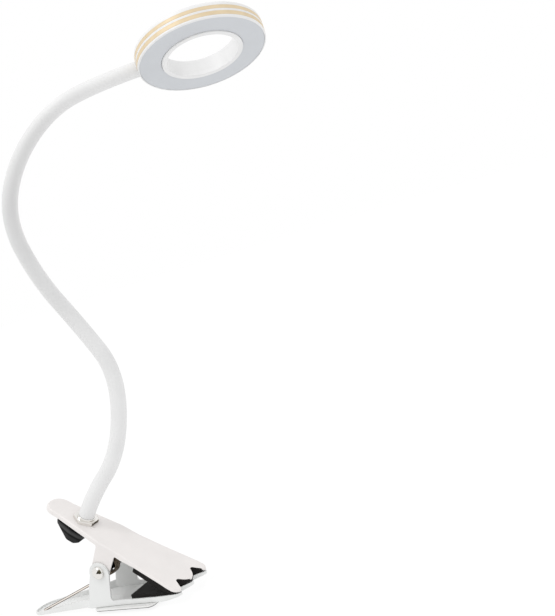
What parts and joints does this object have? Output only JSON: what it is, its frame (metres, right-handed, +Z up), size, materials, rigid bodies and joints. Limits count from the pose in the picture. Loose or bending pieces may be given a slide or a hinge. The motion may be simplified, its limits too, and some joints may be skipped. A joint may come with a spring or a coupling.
{
  "type": "clip-on reading lamp",
  "caption": "Clip-on reading lamp: a sprung two-jaw steel clip carries a bendable gooseneck with a flat ring-shaped LED head at its end.",
  "frame": {"origin": "point where the two grip pads meet at the mouth of the clip, mid-width", "axes": "+X out of the mouth, away from the handles; +Z up, square to the base plate; +Y across the clip"},
  "size_m": [0.2502, 0.1723, 0.369],
  "materials": {
    "upper_white": "gloss warm white paint",
    "lower_white": "gloss white paint",
    "base_white": "satin white paint",
    "black_rubber": "matte",
    "chrome": "polished",
    "zinc_steel": "plated",
    "spring_wire": "bronze-coloured spring steel",
    "neck_white": "matte white skin",
    "core_steel": "steel spiral hose",
    "lead_red": "insulation",
    "black_plastic": "matte moulded",
    "head_white": "gloss white",
    "pale_gold": "pale gold satin",
    "frosted": "frosted grey-white",
    "board_white": "white solder mask",
    "led_yellow": "phosphor"
  },
  "bodies": {
    "lower_jaw": {"lower_jaw": "lower_white", "base_plate": "base_white", "base_pad": "black_rubber", "base_rivets": "base_white", "lower_grip_pad": "black_rubber", "pivot_pin": "chrome", "spring_bush": "black_plastic", "torsion_spring": "spring_wire"},
    "upper_jaw": {"upper_jaw": "upper_white", "upper_grip_pad": "black_rubber", "neck_ferrule": "chrome", "neck_stud": "zinc_steel", "lock_washer": "zinc_steel", "lock_nut": "zinc_steel", "cable_cover": "black_plastic", "cable_grommet": "black_rubber", "tail_leads": "lead_red", "neck_sleeve_1": "neck_white", "neck_core_1": "core_steel", "neck_lead_1": "lead_red"},
    "neck_2": {"neck_sleeve_2": "neck_white", "neck_core_2": "core_steel", "neck_lead_2": "lead_red"},
    "neck_3": {"neck_sleeve_3": "neck_white", "neck_core_3": "core_steel", "neck_lead_3": "lead_red"},
    "neck_4": {"neck_sleeve_4": "neck_white", "neck_core_4": "core_steel", "neck_lead_4": "lead_red"},
    "neck_5": {"neck_sleeve_5": "neck_white", "neck_core_5": "core_steel", "neck_lead_5": "lead_red"},
    "neck_6": {"neck_sleeve_6": "neck_white", "neck_core_6": "core_steel", "neck_lead_6": "lead_red"},
    "neck_7": {"neck_sleeve_7": "neck_white", "neck_core_7": "core_steel", "neck_lead_7": "lead_red"},
    "neck_8": {"neck_sleeve_8": "neck_white", "neck_core_8": "core_steel", "neck_lead_8": "lead_red"},
    "head": {"neck_sleeve_9": "neck_white", "neck_core_9": "core_steel", "neck_lead_9": "lead_red", "head_cover": "head_white", "head_frame": "head_white", "inner_trim": "head_white", "diffuser": "frosted", "gold_band_upper": "pale_gold", "gold_band_lower": "pale_gold", "led_board": "board_white", "leds": "led_yellow", "board_screws": "zinc_steel", "head_socket": "zinc_steel", "head_leads": "lead_red"}
  },
  "joints": [
    {"name": "jaw_hinge", "type": "hinge", "parent": "lower_jaw", "child": "upper_jaw", "pos_m": [-0.0545, 0, 0.0207], "axis": [0, -1, 0], "range_deg": [0, 45], "stiffness_Nm_per_rad": 1, "springref_deg": -45.84, "deforming": ["torsion_spring"]},
    {"name": "neck_bend_1", "type": "hinge", "parent": "upper_jaw", "child": "neck_2", "pos_m": [-0.04129, 0.0061, 0.08059], "axis": [-0.3988, 0.9166, -0.0292], "range_deg": [-40, 40]},
    {"name": "neck_bend_2", "type": "hinge", "parent": "neck_2", "child": "neck_3", "pos_m": [-0.0228, 0.01815, 0.11875], "axis": [-0.8513, -0.4414, 0.2838], "range_deg": [-40, 40]},
    {"name": "neck_bend_3", "type": "hinge", "parent": "neck_3", "child": "neck_4", "pos_m": [-0.0251, 0.02245, 0.16325], "axis": [0.487, -0.8648, 0.122], "range_deg": [-40, 40]},
    {"name": "neck_bend_4", "type": "hinge", "parent": "neck_4", "child": "neck_5", "pos_m": [-0.0421, 0.01875, 0.20195], "axis": [0.767, 0.4901, 0.4141], "range_deg": [-40, 40]},
    {"name": "neck_bend_5", "type": "hinge", "parent": "neck_5", "child": "neck_6", "pos_m": [-0.05665, 0.01755, 0.24365], "axis": [-0.4815, 0.8639, -0.148], "range_deg": [-40, 40]},
    {"name": "neck_bend_6", "type": "hinge", "parent": "neck_6", "child": "neck_7", "pos_m": [-0.0559, 0.0256, 0.28385], "axis": [-0.8115, -0.3993, 0.4267], "range_deg": [-40, 40]},
    {"name": "neck_bend_7", "type": "hinge", "parent": "neck_7", "child": "neck_8", "pos_m": [-0.03625, 0.04325, 0.3155], "axis": [0.5102, -0.8484, 0.1409], "range_deg": [-40, 40]},
    {"name": "neck_bend_8", "type": "hinge", "parent": "neck_8", "child": "head", "pos_m": [-0.00615, 0.06376, 0.33226], "axis": [0.2057, -0.0189, -0.9784], "range_deg": [-40, 40]}
  ]
}
